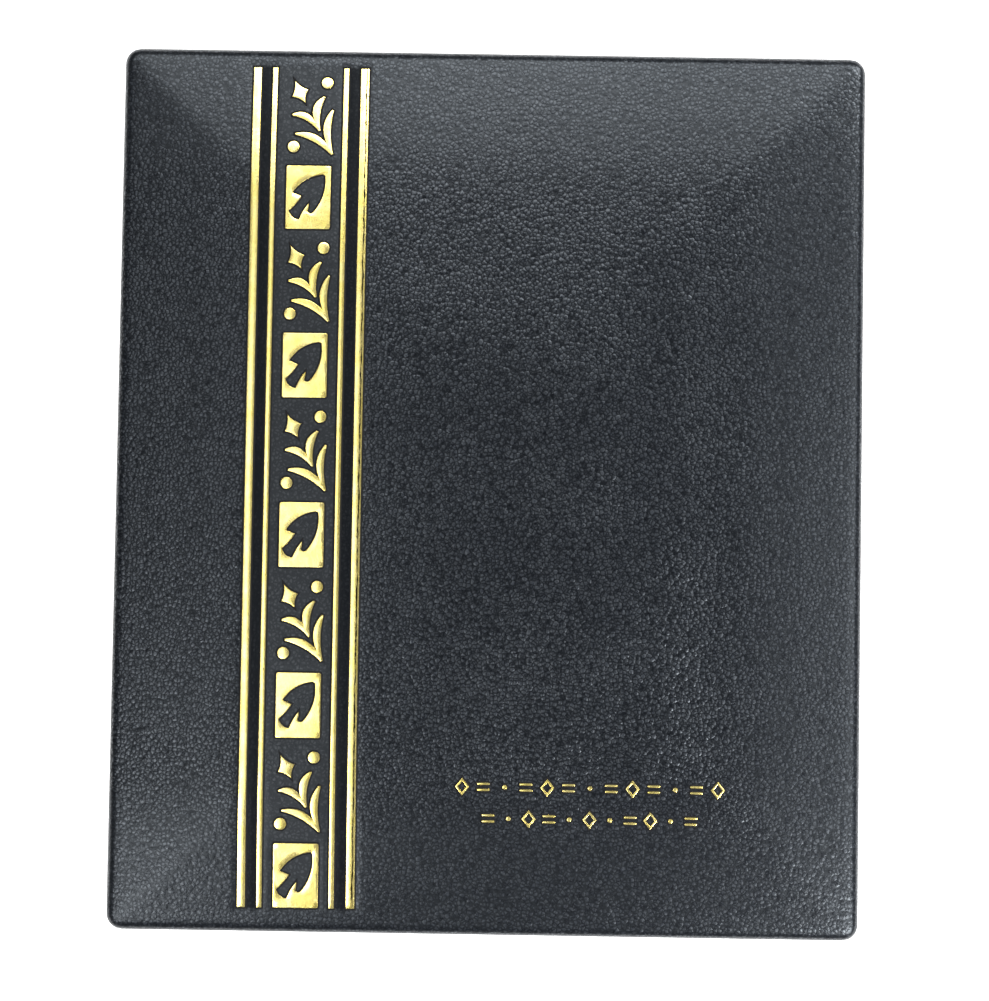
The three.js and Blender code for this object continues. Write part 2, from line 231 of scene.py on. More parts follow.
# ---------------------------------------------------------------- shader nodes
class Shader:
    """Builds one procedural material round a Principled BSDF."""

    def __init__(self, name, **values):
        self.material = bpy.data.materials.new(name)
        self.material.use_nodes = True
        self.nodes = self.material.node_tree.nodes
        self.links = self.material.node_tree.links
        self.surface = self.nodes["Principled BSDF"]
        self.place = self.nodes.new("ShaderNodeTexCoord").outputs["Object"]
        for socket, value in values.items():
            self.surface.inputs[socket.replace("_", " ")].default_value = value

    def node(self, kind, inputs=(), **settings):
        made = self.nodes.new("ShaderNode" + kind)
        for key, value in settings.items():
            setattr(made, key, value)
        for key, value in dict(inputs).items():
            self.feed(made.inputs[key], value)
        return made

    def feed(self, socket, value):
        if isinstance(value, bpy.types.NodeSocket):
            self.links.new(value, socket)
        else:
            socket.default_value = value

    def math(self, operation, a, b=0.0, clamp=False):
        made = self.node("Math", operation=operation, use_clamp=clamp)
        self.feed(made.inputs[0], a)
        self.feed(made.inputs[1], b)
        return made.outputs[0]

    def distance_from(self, value, middle_mm):
        return self.math("ABSOLUTE", self.math("SUBTRACT", value, middle_mm * MM))

    def noise(self, size_mm, detail=2.0, rough=0.5, place=None, distortion=0.0):
        """Noise whose features are about size_mm across."""
        made = self.node("TexNoise", {"Scale": 1 / (size_mm * MM), "Detail": detail,
                                      "Roughness": rough, "Distortion": distortion,
                                      "Vector": place or self.place})
        return made.outputs["Fac"]

    def cells(self, size_mm, feature="F1", place=None):
        made = self.node("TexVoronoi", {"Scale": 1 / (size_mm * MM), "Vector": place or self.place},
                         feature=feature)
        return made.outputs["Distance"]

    def warped(self, size_mm, strength_mm):
        """Object coordinates pushed about by noise."""
        swirl = self.node("TexNoise", {"Scale": 1 / (size_mm * MM), "Detail": 1.0, "Vector": self.place})
        centred = self.node("VectorMath", operation="SUBTRACT")
        self.feed(centred.inputs[0], swirl.outputs["Color"])
        centred.inputs[1].default_value = (0.5, 0.5, 0.5)
        scaled = self.node("VectorMath", operation="SCALE")
        self.feed(scaled.inputs[0], centred.outputs[0])
        scaled.inputs["Scale"].default_value = strength_mm * MM
        moved = self.node("VectorMath", operation="ADD")
        self.feed(moved.inputs[0], self.place)
        self.feed(moved.inputs[1], scaled.outputs[0])
        return moved.outputs[0]

    def stretch(self, x=1.0, y=1.0, z=1.0):
        made = self.node("Mapping")
        self.feed(made.inputs["Vector"], self.place)
        made.inputs["Scale"].default_value = (x, y, z)
        return made.outputs[0]

    def ramp(self, value, low, high, start=0.0, end=1.0):
        made = self.node("MapRange", {"From Min": start, "From Max": end, "To Min": low, "To Max": high})
        self.feed(made.inputs["Value"], value)
        return made.outputs[0]

    def mix(self, amount, first, second):
        made = self.node("Mix", data_type="RGBA")
        self.feed(made.inputs["Factor"], amount)
        self.feed(made.inputs[6], (*first, 1) if isinstance(first, tuple) else first)
        self.feed(made.inputs[7], (*second, 1) if isinstance(second, tuple) else second)
        return made.outputs[2]

    def bump(self, height, depth_mm, strength=1.0, onto=None):
        made = self.node("Bump", {"Strength": strength, "Distance": depth_mm * MM})
        self.feed(made.inputs["Height"], height)
        if onto:
            self.feed(made.inputs["Normal"], onto)
        return made.outputs[0]

    def finish(self, colour=None, roughness=None, normal=None):
        for socket, value in (("Base Color", colour), ("Roughness", roughness), ("Normal", normal)):
            if value is not None:
                self.feed(self.surface.inputs[socket], value)
        return self.material


# ---------------------------------------------------------------- materials
def leatherette(pressed_band):
    """Navy-black embossed leatherette with painted shade in its creases. The front cover's grain is flattened
    inside the band, and the strips between its paired rules get painted shade.
    """
    shade = Shader("leatherette_front" if pressed_band else "leatherette_back", IOR=1.5)
    shade.surface.inputs["Specular Tint"].default_value = (0.85, 0.93, 1.0, 1)
    warped = shade.warped(0.7, 0.45)
    distance = shade.cells(GRAIN, "SMOOTH_F1", warped)
    bead = shade.math("SUBTRACT", 1.0, shade.math("POWER", shade.ramp(distance, 0.0, 1.0, 0.0, 0.62), 2.2))
    crease = shade.ramp(shade.cells(GRAIN, "DISTANCE_TO_EDGE", warped), 0.0, 1.0, 0.0, 0.26)
    # Painted shade: reflection is turned down in the grain's creases, broken up by noise
    painted_crease_shade = shade.ramp(shade.math("MULTIPLY", crease, shade.noise(0.45, 2.0)), 0.12, 0.62, 0.0, 0.6)
    painted_strip_shade = 1.0
    fine = shade.noise(0.25, 2.0)
    patches = shade.noise(22.0, 3.0)
    depth = shade.ramp(patches, 0.6, 1.2, 0.3, 0.7)
    split = shade.node("SeparateXYZ", {"Vector": shade.place})
    to_left = shade.ramp(split.outputs["X"], 0.3, 0.0, -52 * MM, -36 * MM)
    to_right = shade.ramp(split.outputs["X"], 0.0, 1.0, 36 * MM, 52 * MM)
    to_ends = shade.ramp(shade.distance_from(split.outputs["Y"], 0.0), 0.0, 1.0, 46 * MM, 64 * MM)
    stretched = shade.math("MAXIMUM", shade.math("MAXIMUM", to_left, to_right), to_ends)
    depth = shade.math("MULTIPLY", depth, shade.ramp(stretched, 1.35, 0.55))
    # The painted crease shade is weakened towards the cover's sides and ends
    painted_crease_shade = shade.math("MAXIMUM", painted_crease_shade, shade.ramp(stretched, 0.05, 0.3))
    dark, light = (0.0062, 0.0072, 0.0095), (0.0115, 0.0137, 0.018)
    colour = shade.mix(shade.ramp(shade.noise(0.6, 3.0), 0.0, 1.0, 0.35, 0.7), dark, light)
    sheen = shade.ramp(shade.noise(0.9, 2.0), 0.26, 0.36, 0.3, 0.7)
    if pressed_band:
        left = RULES["outer_left"][0] - 0.6
        right = RULES["outer_right"][0] + 0.6
        half = (right - left) / 2 * MM
        aside = shade.distance_from(split.outputs["X"], (left + right) / 2)
        beyond = shade.distance_from(split.outputs["Y"], (BAND_TOP + BAND_BOTTOM) / 2)
        half_length = (BAND_TOP - BAND_BOTTOM) / 2 * MM
        past_end = shade.ramp(beyond, 0.0, 1.0, half_length - 0.2 * MM, half_length + 0.8 * MM)
        past_side = shade.ramp(aside, 0.0, 1.0, half - 0.5 * MM, half + 0.9 * MM)
        outside = shade.math("MAXIMUM", past_side, past_end)
        depth = shade.math("MULTIPLY", depth, shade.ramp(outside, 0.4, 1.0))
        colour = shade.mix(outside, (0.003, 0.0035, 0.0045), colour)
        sheen = shade.math("ADD", sheen, shade.ramp(outside, 0.12, 0.0))
        painted_crease_shade = shade.math("MAXIMUM", painted_crease_shade, shade.ramp(outside, 0.34, 0.0))
        # Painted shade: reflection is cut to a quarter in the strips between each inner rule and its outer
        # rule
        inner = (RULES["inner_right"][0] - RULES["inner_left"][0]) / 2 * MM
        between = shade.math("MULTIPLY", shade.ramp(aside, 0.0, 1.0, inner, inner + 0.3 * MM),
                             shade.ramp(aside, 1.0, 0.0, half - 1.2 * MM, half - 0.3 * MM))
        between = shade.math("MULTIPLY", between, shade.math("SUBTRACT", 1.0, past_end))
        painted_strip_shade = shade.ramp(between, 1.0, 0.25)
    grain = shade.math("ADD", shade.math("MULTIPLY", bead, 0.8), shade.math("MULTIPLY", crease, 0.2))
    normal = shade.bump(shade.math("MULTIPLY", grain, depth), 0.064, 1.0, shade.bump(fine, 0.008))
    # Painted shade: the creases are coloured near-black
    colour = shade.mix(crease, (0.002, 0.0025, 0.0035), colour)
    shade.feed(shade.surface.inputs["Specular IOR Level"], shade.math("MULTIPLY", painted_crease_shade, painted_strip_shade))
    return shade.finish(colour, sheen, normal)


def painted_shade_rim():
    """Near-black leatherette for thin plates round the foil: painted shade for the shadowed walls of the
    stamping.
    """
    shade = Shader("leatherette_painted_shade", IOR=1.3)
    fine = shade.noise(0.3, 2.0)
    colour = shade.mix(fine, (0.0008, 0.0008, 0.001), (0.002, 0.002, 0.003))
    return shade.finish(colour, shade.ramp(fine, 0.6, 0.8), shade.bump(fine, 0.01))


def gold_foil():
    """Bright foil with a few nicks, and a thin dark broken line along the outer right rule."""
    shade = Shader("gold_foil", Metallic=1.0)
    grain = shade.noise(0.7, 2.0)
    brushed = shade.noise(0.35, 2.0, place=shade.stretch(4.0, 0.25, 1.0))
    tone = shade.ramp(shade.noise(3.0, 3.0), 0.0, 1.0, 0.35, 0.65)
    colour = shade.mix(tone, (0.93, 0.76, 0.22), (0.98, 0.83, 0.33))
    nicks = shade.ramp(shade.cells(2.6, "F1", shade.warped(2.0, 2.2)), 1.0, 0.0, 0.025, 0.05)
    split = shade.node("SeparateXYZ", {"Vector": shade.place})
    # A dark broken line painted along the outer right rule, a little right of its middle
    middle, width = RULES["outer_right"]
    along = shade.stretch(0.0, 1.0, 0.0)
    wander = shade.ramp(shade.noise(5.0, 3.0, place=along), -0.12 * MM, 0.12 * MM, 0.3, 0.7)
    run = shade.math("SUBTRACT", split.outputs["X"], (middle + 0.22 * width) * MM)
    aside = shade.math("ABSOLUTE", shade.math("SUBTRACT", run, wander))
    broken = shade.noise(2.4, 4.0, 0.7, place=shade.stretch(0.6, 1.0, 1.0))
    reach = shade.ramp(broken, 0.01 * MM, 0.15 * MM, 0.34, 0.6)
    dark_line = shade.math("LESS_THAN", aside, reach)
    colour = shade.mix(shade.math("MAXIMUM", nicks, dark_line), colour, (0.01, 0.007, 0.003))
    roughness = shade.ramp(brushed, 0.2, 0.28, 0.3, 0.7)
    normal = shade.bump(grain, 0.01, 1.0, shade.bump(brushed, 0.0006))
    return shade.finish(colour, roughness, normal)


def flock():
    shade = Shader("flock", Roughness=0.95, Sheen_Weight=0.9, Sheen_Roughness=0.35)
    shade.surface.inputs["Specular IOR Level"].default_value = 0.1
    shade.surface.inputs["Sheen Tint"].default_value = (0.45, 0.55, 0.9, 1)
    nap = shade.noise(0.16, 3.0, 0.7)
    drift = shade.ramp(shade.noise(14.0, 2.0, distortion=0.6), 0.0, 1.0, 0.35, 0.7)
    colour = shade.mix(drift, (0.006, 0.014, 0.055), (0.012, 0.028, 0.095))
    colour = shade.mix(shade.ramp(nap, 0.0, 1.0, 0.35, 0.75), (0.002, 0.005, 0.022), colour)
    return shade.finish(colour, None, shade.bump(nap, 0.12, 0.9))


def acrylic():
    shade = Shader("acrylic", Roughness=0.04, IOR=1.49, Alpha=0.12)
    colour = shade.mix(shade.noise(30.0), (0.1, 0.12, 0.13), (0.13, 0.145, 0.15))
    smears = shade.ramp(shade.noise(9.0, 3.0), 0.02, 0.09, 0.35, 0.75)
    return shade.finish(colour, smears, shade.bump(shade.noise(22.0), 0.05))


def card_stock():
    shade = Shader("card_stock", IOR=1.45)
    fibre = shade.noise(0.3, 3.0, 0.6)
    colour = shade.mix(shade.ramp(fibre, 0.0, 1.0, 0.3, 0.7), (0.010, 0.026, 0.10), (0.014, 0.034, 0.125))
    return shade.finish(colour, shade.ramp(fibre, 0.42, 0.58), shade.bump(fibre, 0.01))


def greyboard():
    shade = Shader("greyboard")
    flecks = shade.noise(0.5, 4.0, 0.7)
    colour = shade.mix(flecks, (0.09, 0.08, 0.07), (0.24, 0.22, 0.19))
    return shade.finish(colour, shade.ramp(flecks, 0.8, 0.95), shade.bump(flecks, 0.03))


def paper():
    shade = Shader("paper")
    laid = shade.noise(0.5, 2.0, place=shade.stretch(0.2, 2.0, 1.0))
    colour = shade.mix(laid, (0.72, 0.67, 0.54), (0.82, 0.78, 0.66))
    return shade.finish(colour, shade.ramp(laid, 0.75, 0.9), shade.bump(laid, 0.01))


def foam():
    shade = Shader("foam")
    pores = shade.cells(0.5)
    colour = shade.mix(pores, (0.80, 0.76, 0.64), (0.55, 0.51, 0.42))
    return shade.finish(colour, shade.ramp(pores, 0.9, 1.0), shade.bump(pores, 0.2))


def brass():
    shade = Shader("brass", Metallic=1.0)
    brushed = shade.noise(0.3, 3.0, place=shade.stretch(3.0, 0.15, 3.0))
    stain = shade.ramp(shade.noise(5.0, 3.0), 0.0, 1.0, 0.4, 0.7)
    colour = shade.mix(stain, (0.89, 0.68, 0.31), (0.81, 0.58, 0.25))
    return shade.finish(colour, shade.ramp(brushed, 0.24, 0.34, 0.3, 0.7), shade.bump(brushed, 0.002))


def nickel_plate():
    shade = Shader("nickel_plate", Metallic=1.0)
    satin = shade.noise(0.4, 3.0)
    colour = shade.mix(satin, (0.55, 0.55, 0.56), (0.68, 0.68, 0.68))
    return shade.finish(colour, shade.ramp(satin, 0.25, 0.4), shade.bump(satin, 0.003))


def coin_metal(name, field, relief):
    """Proof strike: a mirror field under frosted relief, told apart by the mesh's relief value."""
    shade = Shader(name, Metallic=1.0)
    height = shade.node("Attribute", attribute_name="relief").outputs["Fac"]
    frosted = shade.ramp(height, 0.0, 1.0, 0.02, 0.12)
    frost = shade.noise(0.08, 2.0)
    colour = shade.mix(frosted, field, relief)
    tarnish = shade.ramp(shade.noise(7.0, 2.0), 0.0, 0.25, 0.45, 0.8)
    colour = shade.mix(tarnish, colour, tuple(c * 0.85 for c in field))
    grit = shade.math("MULTIPLY", frost, frosted)
    return shade.finish(colour, shade.ramp(frosted, 0.06, 0.42), shade.bump(grit, 0.012))


MATERIALS = {
    "leather_front": leatherette(True),
    "leather_back": leatherette(False),
    "leather_painted_shade": painted_shade_rim(),
    "gold": gold_foil(),
    "flock": flock(),
    "acrylic": acrylic(),
    "card": card_stock(),
    "board": greyboard(),
    "paper": paper(),
    "foam": foam(),
    "brass": brass(),
    "magnet": nickel_plate(),
    "silver": coin_metal("silver_proof", (0.80, 0.81, 0.82), (0.90, 0.90, 0.89)),
    "copper": coin_metal("copper_proof", (0.66, 0.29, 0.16), (0.86, 0.48, 0.31)),
}


# ---------------------------------------------------------------- the covers' surface
def inset_from_edge(x, y):
    """Distance in from the wall, with the mitre lines between the four sides softened."""
    across, along = HALF_X - np.abs(x), HALF_Y - np.abs(y)
    nearest = np.minimum(across, along)
    soft = np.maximum(1.2, HIP_SOFTNESS * nearest + 1.2)
    blend = np.maximum(soft - np.abs(across - along), 0) / soft
    return nearest - blend ** 2 * soft / 4


def crown(inset):
    return CROWN * (1 - (1 - np.clip(inset / HALF_X, 0, 1)) ** 2)


def rectangle_gap(x, y, centre_x, centre_y, width, height):
    """Distance outside a rectangle, 0 within it."""
    beyond_x = np.maximum(np.abs(x - centre_x) - width / 2, 0)
    beyond_y = np.maximum(np.abs(y - centre_y) - height / 2, 0)
    return np.hypot(beyond_x, beyond_y)


def panel_middles():
    lowest = BAND_BOTTOM + PANEL_HEIGHT / 2
    return [lowest + i * PANEL_PITCH for i in range(PANEL_COUNT)]


def stamped_dent(x, y):
    """How far the foil stamping has pressed the leatherette in."""
    depth = np.zeros_like(x)
    middle, length = (BAND_TOP + BAND_BOTTOM) / 2, BAND_TOP - BAND_BOTTOM
    marks = [(rule_x, middle, width, length) for rule_x, width in RULES.values()]
    marks += [(PANEL_X, cy, PANEL_WIDTH, PANEL_HEIGHT) for cy in panel_middles()]
    for mark in marks:
        depth = np.maximum(depth, np.exp(-(rectangle_gap(x, y, *mark) / DENT_REACH) ** 2))
    return DENT_DEPTH * depth


def front_height(x, y):
    """Height of the front cover's outer face, above the closed album's underside."""
    x, y = np.asarray(x, float), np.asarray(y, float)
    return CLOSED_DEPTH + crown(inset_from_edge(x, y)) - stamped_dent(x, y)


def grid_lines(half, extra, spacing):
    """Grid places from -half to half: close together round the edge, and through each (low,
    high, spacing) stretch in extra."""
    edge = [EDGE_RADIUS * (1 - math.sin(t * math.pi / 12)) for t in range(6, 0, -1)]
    places = [-half + d for d in edge] + [half - d for d in edge]
    inner = half - EDGE_RADIUS
    stops = [-inner, *sorted(v for low, high, _ in extra for v in (low, high)), inner]
    for low, high in zip(stops, stops[1:]):
        fine = [s for a, b, s in extra if low >= a - 1e-6 and high <= b + 1e-6]
        count = max(1, round((high - low) / (fine[0] if fine else spacing)))
        places += list(np.linspace(low, high, count + 1))
    return np.unique(np.round(places, 5))


def round_corner(x, y):
    """Moves grid points so that the outline's corners are arcs."""
    inner_x, inner_y = HALF_X - CORNER_RADIUS, HALF_Y - CORNER_RADIUS
    a = (np.abs(x) - inner_x) / CORNER_RADIUS
    b = (np.abs(y) - inner_y) / CORNER_RADIUS
    corner = (a > 0) & (b > 0)
    reach = np.maximum(a, b)
    angle = np.where(a >= b, b / np.where(a == 0, 1, a), 2 - a / np.where(b == 0, 1, b)) * math.pi / 4
    new_x = inner_x + CORNER_RADIUS * reach * np.cos(angle)
    new_y = inner_y + CORNER_RADIUS * reach * np.sin(angle)
    return np.where(corner, np.sign(x) * new_x, x), np.where(corner, np.sign(y) * new_y, y)


def cover_mesh(name, domed, extra_x, spacing_x, spacing_y):
    """One cover's leatherette as a closed shell: outer face, wall, rim, turned-in lip and
    lining. Local z is 0 at the rim and grows outwards."""
    half_length = box_mm("back_hinge_leaf")[1].y + 0.5
    ends = [(-half_length, -half_length + 0.3, 0.3), (half_length - 0.3, half_length, 0.3)]
    xs = grid_lines(HALF_X, extra_x, spacing_x)
    ys = grid_lines(HALF_Y, ends, spacing_y)
    flat_x, flat_y = np.meshgrid(xs, ys)
    grid_x, grid_y = round_corner(flat_x, flat_y)
    in_x = np.maximum((np.abs(grid_x) - HALF_X + CORNER_RADIUS), 0)
    in_y = np.maximum((np.abs(grid_y) - HALF_Y + CORNER_RADIUS), 0)
    wall_gap = np.where((in_x > 0) & (in_y > 0), CORNER_RADIUS - np.hypot(in_x, in_y),
                        np.minimum(HALF_X - np.abs(grid_x), HALF_Y - np.abs(grid_y)))
    fall = np.clip(EDGE_RADIUS - wall_gap, 0, EDGE_RADIUS)
    drop = EDGE_RADIUS - np.sqrt(EDGE_RADIUS ** 2 - fall ** 2)
    height = HALF_DEPTH - drop
    if domed:
        rise = front_height(grid_x, grid_y) - CLOSED_DEPTH
        height = height + rise * (1 - drop / EDGE_RADIUS)
    rows, columns = grid_x.shape
    points = np.stack([grid_x, grid_y, height], -1).reshape(-1, 3)
    index = np.arange(rows * columns).reshape(rows, columns)
    quads = np.stack([index[:-1, :-1], index[:-1, 1:], index[1:, 1:], index[1:, :-1]], -1)
    faces = quads.reshape(-1, 4).tolist()
    loop = np.concatenate([index[0, :-1], index[:-1, -1], index[-1, :0:-1], index[:0:-1, 0]])
    rim = points[loop]
    notch = (rim[:, 0] < -HALF_X + 0.01) & (np.abs(rim[:, 1]) < half_length - 0.05)
    notch_rise = np.where(notch, HINGE_NOTCH_RISE, 0.0)

    def ring(inset, level, lifted=True):
        shrink = np.array([(HALF_X - inset) / HALF_X, (HALF_Y - inset) / HALF_Y])
        return np.column_stack([rim[:, :2] * shrink, level + notch_rise * lifted])

    lining = HALF_DEPTH - SKIN
    rings = [ring(0, 5.0, False), ring(0, 2.5, False), ring(0, 0.35), ring(0.1, 0.1), ring(0.35, 0.0),
             ring(LIP_WIDTH - 0.35, 0.0), ring(LIP_WIDTH - 0.1, 0.1), ring(LIP_WIDTH, 0.35),
             ring(LIP_WIDTH, SKIN), ring(SKIN, SKIN), ring(SKIN, lining - 1.8, False),
             ring(1.33, lining - 0.53, False), ring(LINING_RADIUS, lining, False)]
    for inset in (8, 18, 32, 50):
        level = lining + (crown(np.array(float(inset))) if domed else 0)
        rings.append(ring(inset, level, False))
    previous = loop
    everything = [points]
    total = len(points)
    for level in rings:
        current = np.arange(len(level)) + total
        everything.append(level)
        total += len(level)
        after_previous, after_current = np.roll(previous, -1), np.roll(current, -1)
        faces += np.stack([previous, current, after_current, after_previous], -1).tolist()
        previous = current
    faces.append(previous.tolist())
    return mesh_from(name, np.concatenate(everything), faces)


def outwards(mesh):
    work = bmesh.new()
    work.from_mesh(mesh)
    bmesh.ops.recalc_face_normals(work, faces=work.faces)
    work.to_mesh(mesh)
    work.free()
    return mesh


def build_front_covering():
    left, right = RULES["outer_left"][0] - 2.5, RULES["outer_right"][0] + 2.5
    mesh = cover_mesh("front_leatherette", True, [(left, right, 0.4)], 1.3, 0.8)
    for vertex in mesh.vertices:
        vertex.co.z += (CLOSED_DEPTH - HALF_DEPTH) * MM
    leather = MATERIALS["leather_front"]
    thing = add_object("front_leatherette", outwards(mesh), "front_half", leather)
    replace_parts(thing, "front_covering")


def build_back_covering():
    mesh = cover_mesh("back_leatherette", False, [], 2.0, 2.0)
    for vertex in mesh.vertices:
        vertex.co.z = HALF_DEPTH * MM - vertex.co.z
    leather = MATERIALS["leather_back"]
    thing = add_object("back_leatherette", outwards(mesh), "back_half", leather)
    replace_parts(thing, "back_covering")


def build_pad():
    """The foam under the front leatherette: flat below, crowned above, thin at its edge."""
    low, high = box_mm("front_pad")
    points, faces = [], []
    sides = 160
    outline = rounded_rectangle(high.x, high.y, 4.0, steps=sides // 4 - 1)
    shares = [1.0, 0.995, 0.985, 0.96, 0.9, 0.8, 0.65, 0.45, 0.2]
    for level, share in enumerate(shares):
        for x, y in outline:
            inset = HALF_X - high.x * share
            top = low.z + 0.05 + (crown(np.array(inset)) - SKIN * 0.4) * min(1.0, level / 2)
            points.append((x * share, y * share, top))
    count = len(outline)
    for k in range(len(shares) - 1):
        for i in range(count):
            j = (i + 1) % count
            faces.append((k * count + i, k * count + j, (k + 1) * count + j, (k + 1) * count + i))
    faces.append([(len(shares) - 1) * count + i for i in range(count)])
    faces.append(list(range(count))[::-1])
    mesh = outwards(mesh_from("cover_pad", points, faces))
    thing = add_object("cover_pad", mesh, "front_half", MATERIALS["foam"])
    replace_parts(thing, "front_pad")


# ---------------------------------------------------------------- gold foil
def rotate(points, degrees, x=0.0, y=0.0):
    turn = math.radians(degrees)
    c, s = math.cos(turn), math.sin(turn)
    return [(x + px * c - py * s, y + px * s + py * c) for px, py in points]


def bowed(start, end, bow, steps=10):
    """Points along an arc from start to just before end, bulging to the left by bow."""
    (x0, y0), (x1, y1) = start, end
    points = []
    for step in range(steps):
        t = step / steps
        lift = bow * 4 * t * (1 - t)
        length = math.hypot(x1 - x0, y1 - y0)
        normal = (-(y1 - y0) / length, (x1 - x0) / length)
        points.append((x0 + (x1 - x0) * t + normal[0] * lift, y0 + (y1 - y0) * t + normal[1] * lift))
    return points


def outline_of(corners):
    """A closed outline from (point, bow) pairs, each side bulging by its own bow."""
    points = []
    for (start, bow), (end, _) in zip(corners, corners[1:] + corners[:1]):
        points += bowed(start, end, bow)
    return points


def arrowhead(x, y):
    """A plain flaked-stone arrowhead with a flared stem, pointing up and to the right."""
    head = [((2.5, -1.7), -0.75), ((0.3, 5.0), -0.12), ((-0.3, 5.0), -0.75), ((-2.75, -0.9), 0.0)]
    stem = [((-1.0, -0.5), 0.15), ((-1.35, -4.0), -0.4), ((1.15, -4.3), 0.15)]
    barb = [((0.85, -0.8), 0.1), ((1.5, -2.1), -0.3)]
    return rotate(outline_of(head + stem + barb), -35, x, y)


def leaf_pair(foot, upright, fork, sideways):
    """Two tapered leaves that curl away from one foot, joined below their fork."""
    blunt = 0.16
    corners = [((foot[0] + blunt, foot[1]), 0.5), ((upright[0] + blunt, upright[1]), 0.0),
               ((upright[0] - blunt, upright[1] + blunt), -1.05), (fork, -0.95),
               ((sideways[0], sideways[1] + blunt), 0.0), ((sideways[0], sideways[1] - blunt), 0.55),
               ((foot[0] - blunt, foot[1] - blunt), 0.0)]
    return outline_of(corners)


def sprig_loops(x, y):
    """Two nested pairs of curved leaves, a four-pointed star and two dots."""
    star = [((-3.0, 6.6), -0.24), ((-0.45, 4.9), -0.24), ((-0.95, 2.35), -0.24), ((-3.4, 3.5), -0.24)]
    loops = [circle(3.05, 6.2, 1.08, 48), circle(-2.9, -5.9, 1.08, 48), outline_of(star)]
    loops.append(leaf_pair((1.8, -2.8), (2.6, 3.5), (0.75, -0.9), (-3.3, 0.1)))
    loops.append(leaf_pair((4.2, -7.2), (4.2, 1.0), (3.1, -5.2), (-2.7, -3.5)))
    return [[(x + px, y + py) for px, py in loop] for loop in loops]


def ornament_loops(symbol, x, y):
    """One small outline ornament: a lozenge, a pair of dashes or a dot."""
    half, stroke = ORNAMENT_HEIGHT / 2, ORNAMENT_STROKE
    if symbol == "L":
        return [[(x + c * r * math.cos(a), y + r * math.sin(a)) for a in np.arange(4) * math.pi / 2]
                for r, c in ((half, 0.8), (half - 1.45 * stroke, 0.8))]
    if symbol == "=":
        return [rounded_rectangle(1.15, stroke / 2, stroke * 0.45, x, y + side * 0.55, 3) for side in (-1, 1)]
    return [circle(x, y, 0.42, 16)]


def drape(mesh, sink):
    """Lays a flat mesh on the front cover, sunk a little into it."""
    places = np.array([v.co for v in mesh.vertices]) / MM
    surface = front_height(places[:, 0], places[:, 1])
    for vertex, ground in zip(mesh.vertices, surface):
        vertex.co.z += (ground - sink) * MM
    return mesh


def split_long_edges(mesh, longest):
    """Cuts a mesh up until no edge is longer than this, in millimetres."""
    work = bmesh.new()
    work.from_mesh(mesh)
    for _ in range(4):
        bmesh.ops.triangulate(work, faces=work.faces)
        edges = [edge for edge in work.edges if edge.calc_length() > longest * MM]
        if not edges:
            break
        bmesh.ops.subdivide_edges(work, edges=edges, cuts=1)
    bmesh.ops.triangulate(work, faces=work.faces)
    work.to_mesh(mesh)
    work.free()
    return mesh


def foil_piece(name, loops):
    """A piece of foil on the front cover, over a slightly wider near-black plate of painted shade."""
    foil = split_long_edges(plate(name, loops, 0.0, 2 * FOIL_BEVEL + 0.02, FOIL_BEVEL), 1.3)
    drape(foil, FOIL_BEVEL * 0.6)
    sharpen(add_object(name, foil, "front_half", MATERIALS["gold"]), 22)
    # Painted shade: a near-black plate a little wider than the foil, sunk under it
    edge = plate(name + "_edge", loops, 0.0, 0.16, 0.06, 1, SHADE_RIM_REACH)
    drape(split_long_edges(edge, 2.0), 0.1)
    shade_rim_name = name.replace("foil", "painted_shade_rim")
    add_object(shade_rim_name, edge, "front_half", MATERIALS["leather_painted_shade"])


def rule_outline(centre, width):
    """A rule's two long sides with a point each millimetre, so that it follows the crown."""
    steps = round(BAND_TOP - BAND_BOTTOM)
    climb = list(np.linspace(BAND_BOTTOM, BAND_TOP, steps + 1))
    return [(centre + width / 2, y) for y in climb] + [(centre - width / 2, y) for y in climb[::-1]]


def build_foil():
    for name, (centre, width) in RULES.items():
        foil_piece(f"foil_rule_{name}", [rule_outline(centre, width)])
    for i, middle in enumerate(panel_middles(), 1):
        frame_loop = rounded_rectangle(PANEL_WIDTH / 2, PANEL_HEIGHT / 2, 0.35, PANEL_X, middle, 3)
        foil_piece(f"foil_panel_{i}", [frame_loop, arrowhead(PANEL_X - 0.1, middle)])
        foil_piece(f"foil_sprig_{i}", sprig_loops(PANEL_X, middle + SPRIG_RISE))
    for row, (y, width, symbols) in enumerate(ORNAMENT_ROWS, 1):
        reach = (width - ORNAMENT_HEIGHT) / 2
        places = ORNAMENT_X + np.linspace(-reach, reach, len(symbols))
        loops = [loop for symbol, x in zip(symbols, places) for loop in ornament_loops(symbol, x, y)]
        foil_piece(f"foil_ornament_row_{row}", loops)


# ---------------------------------------------------------------- pages, capsules, coins
class Half:
    """Places built lying on their outer face, turned over for the front half."""

    def __init__(self, body, side, turned):
        self.body, self.side, self.turned = body, side, turned

    def add(self, name, mesh, slot, material, *nodes, edge=35):
        if self.turned:
            mesh.transform(Euler((0, math.pi, 0)).to_matrix().to_4x4())
            for vertex in mesh.vertices:
                vertex.co.z += CLOSED_DEPTH * MM
        thing = add_object(name, mesh, self.body, MATERIALS[material])
        if nodes:
            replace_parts(thing, *nodes)
        return sharpen(thing, edge)

    def span(self, node):
        """A node's lowest and highest corners, in this half's own frame."""
        low, high = box_mm(node)
        if not self.turned:
            return low, high
        return Vector((-high.x, low.y, CLOSED_DEPTH - high.z)), Vector((-low.x, high.y, CLOSED_DEPTH - low.z))


